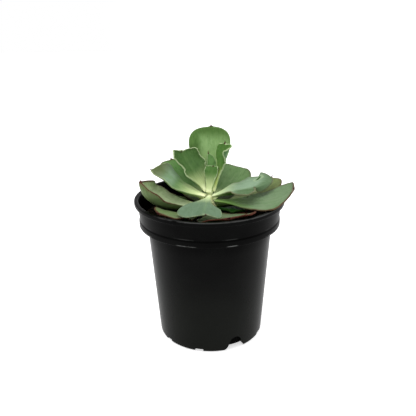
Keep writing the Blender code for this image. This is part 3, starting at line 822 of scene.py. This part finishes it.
def makeStem():
    shape, look = stemShape, barkLook
    top, thin, every = shape["tip"] - shape["tipDrop"], shape["tipRadius"], shape["scarEvery"]
    profile = [(0, shape["tip"])]
    for step in range(shape["rings"] + 1):
        share = step / shape["rings"]
        height = top + (shape["shoulder"] - top) * share
        grown = thin + (shape["radius"] - thin) * share ** shape["swell"]
        scar = shape["scarDepth"] * smooth(0.1, 0.4, share) * math.sin(2 * math.pi * height / every)
        profile.append((grown + scar, height))
    end = shape["endRadius"]
    profile += [(shape["radius"], shape["bottom"] + end), (end, shape["bottom"]), (0, shape["bottom"])]
    work = spinProfile(profile, shape["steps"])
    for vertex in work.verts:
        if vertex.co.xy.length > shape["stillRadius"] * mm:
            angle = math.atan2(vertex.co.y, vertex.co.x)
            wave = math.sin(shape["waverAround"] * angle + shape["waverUp"] * vertex.co.z / mm)
            vertex.co.z += shape["waver"] * wave * mm
    bark = Finish("stemBark", specularIorLevel=0.3)
    where = bark.places()
    grain = bark.cloud(bark.scaled(where, look["grain"]), 1.0, 4.0)
    height = bark.axis(where, "Z")
    brown, fresh = bark.blend(*look["brown"], grain), bark.blend(*look["fresh"], grain)
    # partly painted light: the top's pale green is brightened near white
    bark.set(baseColor=bark.blend(brown, fresh, bark.ease(height, *look["freshFrom"])))
    bark.set(roughness=0.6 + 0.2 * grain)
    bark.bump(grain, 0.5, 0.0004)
    newPiece("stem_bark", work, bark.material, "stem")
    print("stem")


# Soil: an uneven plug and the loose crumbs and chips that lie on it

soilShape = dict(
    level=75.4, holeRadius=4.95, holeFloor=59.4, relief=1.1, steps=150, rings=46, outerRadius=40.44,
    sides=(
        (40.39, 73.9), (39.58, 73.9), (36.54, 72.7), (35.94, 71.15), (31.74, 3.75), (30.74, 2.75), (0, 2.75),
    ),
    holeMargin=2.0, fine=((0.9, 3, 0.55), (2.3, 9, 0.35)), seed=7,
)
# sizes in millimetres; thick and wide are shares of the size, and rough is how uneven a grain is
crumbShape = dict(
    count=1500, small=0.35, large=1.35, wide=(0.6, 1.0), thick=(0.45, 0.8), rough=0.35, sunk=0.15, inner=1.5,
    outer=1.4,
)
chipShape = dict(
    count=26, length=2.6, shortest=0.4, wide=0.35, thick=0.16, rough=0.3, lift=0.45, slant=0.5, bevel=0.16,
    inner=4.0, outer=3.0,
)
soilLook = dict(
    grains=((0.3, (0.0022, 0.002, 0.0013)), (0.52, (0.008, 0.006, 0.0036)), (0.7, (0.028, 0.017, 0.008))),
    # painted shade: the soil is painted black below the heights given after the fibre
    fibre=(0.06, 0.036, 0.018), unlit=(8.0, 12.0), chipDark=(0.05, 0.028, 0.014),
    chipLight=(0.2, 0.13, 0.07),
)


def soilHeight(x, y):
    # millimetres above the level, the same swell as the plain plug's with finer lumps on it
    rough = math.sin(0.61 * x + 1.3) * math.cos(0.53 * y) + 0.8 * math.sin(1.7 * x + 2.1 * y)
    rough += 0.6 * math.cos(2.9 * x - 1.3 * y + 0.7)
    fine = sum(noise.noise(Vector((x * rate, y * rate, z))) * share for rate, z, share in soilShape["fine"])
    hole, outer, margin = soilShape["holeRadius"], soilShape["outerRadius"], soilShape["holeMargin"]
    radius = math.hypot(x, y)
    inside = smooth(hole, hole + margin, radius) * (1 - smooth(outer - margin, outer, radius))
    return float((soilShape["relief"] * rough / 3 + fine) * inside)


def soilFinish():
    earth = Finish("pottingSoil", roughness=0.95, specularIorLevel=0.04)
    where = earth.placesInMm()
    grains = earth.cloud(where, 0.9, 6.0, 0.65)
    fibres = earth.cloud(where, 2.6, 3.0, 0.6, 1.5)
    tint = earth.node("ShaderNodeValToRGB", {"stops": soilLook["grains"]}, {0: grains})
    tint = earth.blend(tint, soilLook["fibre"], earth.ease(fibres, 0.62, 0.74) * 0.7)
    height = earth.axis(where, "Z")
    # painted shade: the plug's foot, seen through the drainage, is painted black
    earth.set(baseColor=earth.blend((0.0, 0.0, 0.0), tint, earth.ease(height, *soilLook["unlit"])))
    earth.bump(grains + fibres * 0.5, 0.9, 0.0008)
    return earth.material


def chipFinish():
    wood = Finish("barkChip", roughness=0.85, specularIorLevel=0.2)
    grain = wood.cloud(wood.placesInMm(), 1.3, 4.0)
    wood.set(baseColor=wood.blend(soilLook["chipDark"], soilLook["chipLight"], wood.ease(grain, 0.35, 0.7)))
    wood.bump(grain, 0.6, 0.0004)
    return wood.material


def layDown(work, verts, x, y, lift, turn, stretch):
    # a grain of unit size is stretched, turned and laid on the soil
    spot = Vector((x, y, soilShape["level"] + soilHeight(x, y) + lift)) * mm
    placed = Matrix.Translation(spot) @ Matrix.Scale(mm, 4) @ turn @ Matrix.Diagonal((*stretch, 1))
    bmesh.ops.transform(work, matrix=placed, verts=verts)


def roundAbout(radius):
    angle = random.uniform(0, 2 * math.pi)
    return radius * math.cos(angle), radius * math.sin(angle)


def makeCrumbs(finish):
    shape, hole, outer = crumbShape, soilShape["holeRadius"], soilShape["outerRadius"]
    crumbs = bmesh.new()
    for number in range(shape["count"]):
        radius = math.sqrt(random.uniform((hole + shape["inner"]) ** 2, (outer - shape["outer"]) ** 2))
        x, y = roundAbout(radius)
        size = shape["small"] + (shape["large"] - shape["small"]) * random.random() ** 3
        turn = Matrix.Rotation(random.uniform(0, 6.28), 4, Vector((random.random(), random.random(), 1)))
        stretch = (size, size * random.uniform(*shape["wide"]), size * random.uniform(*shape["thick"]))
        verts = bmesh.ops.create_icosphere(crumbs, subdivisions=1, radius=1.0)["verts"]
        for vertex in verts:
            vertex.co *= 1 + shape["rough"] * noise.noise(vertex.co * 1.7 + Vector((number, 0, 0)))
        layDown(crumbs, verts, x, y, shape["sunk"] * size, turn, stretch)
    newPiece("soil_crumbs", crumbs, finish)


def makeChips():
    shape, hole, outer = chipShape, soilShape["holeRadius"], soilShape["outerRadius"]
    slant = shape["slant"]
    chips = bmesh.new()
    for number in range(shape["count"]):
        x, y = roundAbout(random.uniform(hole + shape["inner"], outer - shape["outer"]))
        length = shape["length"] * random.uniform(shape["shortest"], 1)
        turn = Matrix.Rotation(random.uniform(0, 6.28), 4, "Z")
        turn = turn @ Matrix.Rotation(random.uniform(-slant, slant), 4, "X")
        block = bmesh.ops.create_cube(chips, size=1.0)
        edges = list({edge for vertex in block["verts"] for edge in vertex.link_edges})
        bevelled = bmesh.ops.bevel(
            chips, geom=edges, offset=shape["bevel"], segments=2, profile=0.5, affect="EDGES", material=-1,
        )
        verts = list({vertex for face in bevelled["faces"] for vertex in face.verts})
        for vertex in verts:
            vertex.co *= 1 + shape["rough"] * noise.noise(vertex.co * 2.1 + Vector((0, number, 0)))
        stretch = (length, length * shape["wide"], length * shape["thick"])
        layDown(chips, verts, x, y, shape["lift"], turn, stretch)
    newPiece("soil_chips", chips, chipFinish())


def makeSoil():
    shape = soilShape
    level, hole, outer = shape["level"], shape["holeRadius"], shape["outerRadius"]
    rings = [(hole + (outer - hole) * step / shape["rings"], level) for step in range(shape["rings"] + 1)]
    profile = [(0, shape["holeFloor"]), (hole, shape["holeFloor"]), *rings, *shape["sides"]]
    work = spinProfile(profile, shape["steps"])
    for vertex in work.verts:
        if abs(vertex.co.z - level * mm) < 0.01 * mm:
            vertex.co.z += soilHeight(vertex.co.x / mm, vertex.co.y / mm) * mm
    finish = soilFinish()
    newPiece("soil_plug", work, finish, "soil")
    random.seed(shape["seed"])
    makeCrumbs(finish)
    makeChips()
    print("soil, crumbs and chips")


# Pot: the same turned shell, rounder and with soft corners, with its drainage cut through the foot

potShape = dict(
    height=88.0, lipRadius=45.0, lipWidth=2.4, lipDrop=2.6, wall=1.2, collarTop=42.9, collarBottom=42.1,
    collarHeight=15.6, beadHeight=3.6, beadProud=0.45, bodyTop=37.6, base=32.4, heel=1.0, floor=2.4,
    shelfDrop=1.6, steps=192, longest=3.0, sharpFrom=42,
)
drainShape = dict(
    places=9, first=-63.5, holeEvery=3, width=9.4, height=8.8, inward=7.0, squareness=2.3, levels=22,
    flareWidth=2.8, flareHeight=4.2, grooveWidth=5.4, grooveDepth=2.0, grooveInward=9.0, outside=4.0,
)
# heights and radii in millimetres are the low and high ends of soft steps
potLook = dict(
    coatRoughness=0.26, coatIor=1.15, gloss=0.5, bodyGloss=0.2, bodyHeight=(62.0, 70.0),
    black=((0.0003, 0.0003, 0.0003), (0.0014, 0.0015, 0.0014)),
    greyer=((0.0035, 0.0042, 0.0032), (0.0068, 0.0074, 0.0062)), greyerHeight=(10.0, 64.0),
    # painted highlight: the light grey tint and the height bands of the dashes on the bead and of the line on
    # the lip
    dust=(0.02, 0.019, 0.017), scuff=(0.11, 0.112, 0.11), dashes=10.0, dashShift=1.92,
    lowerHighlights=(72.7, 72.95, 73.15, 73.4, 0.8), upperHighlights=(76.4, 76.7, 76.9, 77.2, 0.15),
    # painted shade: the last steps on these two lines mark the drainage holes' inside, painted black
    lipHeight=(87.5, 87.8), lipRadius=(44.1, 44.5), lipScuff=0.35, holeShadeHeight=(8.0, 10.0),
    holeShadeRadius=(31.2, 31.9), wallSlope=0.0734,
)


def potProfile():
    s = potShape
    top, wall, lip, base, body = s["height"], s["wall"], s["lipRadius"], s["base"], s["bodyTop"]
    collarTop, collarBottom, collar = s["collarTop"], s["collarBottom"], top - s["collarHeight"]
    shelf, bead, under = collar - s["shelfDrop"], collarBottom + s["beadProud"], top - s["lipDrop"]
    corners = [
        (0, s["floor"], 0),
        (base - wall, s["floor"], 1.2),
        (body - wall, shelf, 0.8),
        (body - 0.5 * wall, shelf + 1.6 * wall, 0.6),
        (collarBottom - 1.7 * wall, collar + wall, 0.6),
        (collarBottom - wall, collar + 1.8 * wall, 0.6),
        (collarTop - wall, under, 0.5),
        (lip - s["lipWidth"], top, 0.7),
        (lip, top, 0.6),
        (lip, under, 0.7),
        (collarTop, under, 0.25),
        (collarBottom + 0.02, collar + s["beadHeight"] + 0.5, 0.4),
        (bead, collar + s["beadHeight"] - 0.3, 0.35),
        (bead, collar, 0.45),
        (body + 0.8, collar - 0.4, 0.5),
        (body, shelf, 0.9),
        (base, s["heel"], 0.5),
        (base - s["heel"], 0, 0.4),
        (0, 0, 0),
    ]
    line = rounded([(radius * mm, height * mm, bend * mm) for radius, height, bend in corners], 4)
    return refined(line, s["longest"] * mm)


def drainCutter():
    s, base = drainShape, potShape["base"]
    work = bmesh.new()
    for place in range(s["places"]):
        if place % s["holeEvery"] == 0:
            made = bmesh.ops.create_grid(work, x_segments=1, y_segments=s["levels"], size=1)
            for vertex in made["verts"]:
                share = (vertex.co.y + 1) / 2
                height = s["height"] * 0.998 * math.sin(share * math.pi / 2)
                arch = (1 - (height / s["height"]) ** s["squareness"]) ** (1 / s["squareness"])
                flare = max(0, 1 - height / s["flareHeight"]) ** 2
                half = s["width"] / 2 * arch + s["flareWidth"] * flare
                below = -s["height"] if share < 0.5 / s["levels"] else 0
                sign = math.copysign(1, vertex.co.x)
                vertex.co = Vector((base - s["inward"], sign * half, height + below)) * mm
            faces = list({face for vertex in made["verts"] for face in vertex.link_faces})
            pushed = bmesh.ops.extrude_face_region(work, geom=faces)
            outer = [piece for piece in pushed["geom"] if isinstance(piece, bmesh.types.BMVert)]
            bmesh.ops.translate(work, vec=((s["inward"] + s["outside"]) * mm, 0, 0), verts=outer)
            verts = made["verts"] + outer
        else:
            verts = bmesh.ops.create_cube(work, size=1)["verts"]
            length = s["grooveInward"] + s["outside"]
            middle = base + (s["outside"] - s["grooveInward"]) / 2
            size = Vector((length, s["grooveWidth"], 2 * s["grooveDepth"])) * mm
            bmesh.ops.scale(work, vec=size, verts=verts)
            bmesh.ops.translate(work, vec=(middle * mm, 0, 0), verts=verts)
        turn = Matrix.Rotation(math.radians(s["first"] + place * 360 / s["places"]), 3, "Z")
        bmesh.ops.rotate(work, cent=(0, 0, 0), matrix=turn, verts=verts)
    bmesh.ops.recalc_face_normals(work, faces=work.faces[:])
    return newObject("drainCutter", work)


def potFinish():
    look = potLook
    coat = Finish(
        "blackPlastic", specularIorLevel=0.0, coatRoughness=look["coatRoughness"], coatIor=look["coatIor"],
    )
    inMm = coat.placesInMm()
    east, north, height = (coat.axis(inMm, name) for name in "XYZ")
    radius = (east * east + north * north) ** 0.5
    cloud = coat.cloud(inMm, 0.05, 4.0)
    dust = coat.cloud(inMm, 1.4, 4.0, 0.7)
    flow = coat.cloud(coat.scaled(inMm, (0.5, 0.5, 0.06)), 1.0, 3.0)
    tint = coat.blend(*look["black"], coat.ease(cloud, 0.35, 0.65))
    low = 1 - coat.ease(height, *look["greyerHeight"])
    tint = coat.blend(tint, coat.blend(*look["greyer"], cloud), low)
    tint = coat.blend(tint, look["dust"], coat.ease(dust, 0.6, 0.8) * 0.25)

    # painted highlight: light grey dashes along the bead's edges, and a broken light line on the lip
    angle = north.maths("ARCTAN2", north, east) * look["dashes"] + look["dashShift"]
    broken = (coat.cloud(inMm, 0.16, 2.0) - 0.5) * 3.5
    dashes = coat.ease(angle.maths("SINE", angle, 0) + broken, 0.2, 1.1)
    bands = []
    for rise, full, fade, end, share in (look["lowerHighlights"], look["upperHighlights"]):
        bands.append(coat.ease(height, rise, full) * (1 - coat.ease(height, fade, end)) * share)
    highlights = bands[0].maths("MAXIMUM", *bands) * dashes
    rim = coat.ease(height, *look["lipHeight"]) * coat.ease(radius, *look["lipRadius"])
    highlights = highlights.maths("MAXIMUM", highlights, rim * look["lipScuff"] * coat.ease(cloud, 0.4, 0.55))
    tint = coat.blend(tint, look["scuff"], highlights)

    # painted shade: the drainage holes' inside is painted black, without the coat
    holeShade = 1 - coat.ease(radius - height * look["wallSlope"], *look["holeShadeRadius"])
    holeShade = holeShade * (1 - coat.ease(height, *look["holeShadeHeight"]))
    gloss = look["gloss"] + look["bodyGloss"] * (1 - coat.ease(height, *look["bodyHeight"]))
    coat.set(baseColor=coat.blend(tint, (0.0, 0.0, 0.0), holeShade), coatWeight=gloss * (1 - holeShade))
    coat.set(roughness=0.5 + 0.1 * cloud)
    coat.bump(flow * 0.6 + dust * 0.15, 0.25, 0.0003)
    return coat.material


def makePot():
    work = spinProfile(potProfile(), potShape["steps"], 1)
    pot = newPiece("pot_shell", work, potFinish(), "pot")
    cutter = drainCutter()
    cut = pot.modifiers.new("drain", "BOOLEAN")
    cut.operation = "DIFFERENCE"
    cut.object = cutter
    whole = bpy.data.meshes.new_from_object(pot.evaluated_get(bpy.context.evaluated_depsgraph_get()))
    pot.modifiers.clear()
    pot.data = whole
    bpy.data.objects.remove(cutter)
    whole.shade_smooth()
    whole.set_sharp_from_angle(angle=math.radians(potShape["sharpFrom"]))
    print("pot:", len(whole.polygons), "faces")


makeCamera()
makeFloor()
makeLight()
makeLeaves()
makeStem()
makeSoil()
makePot()
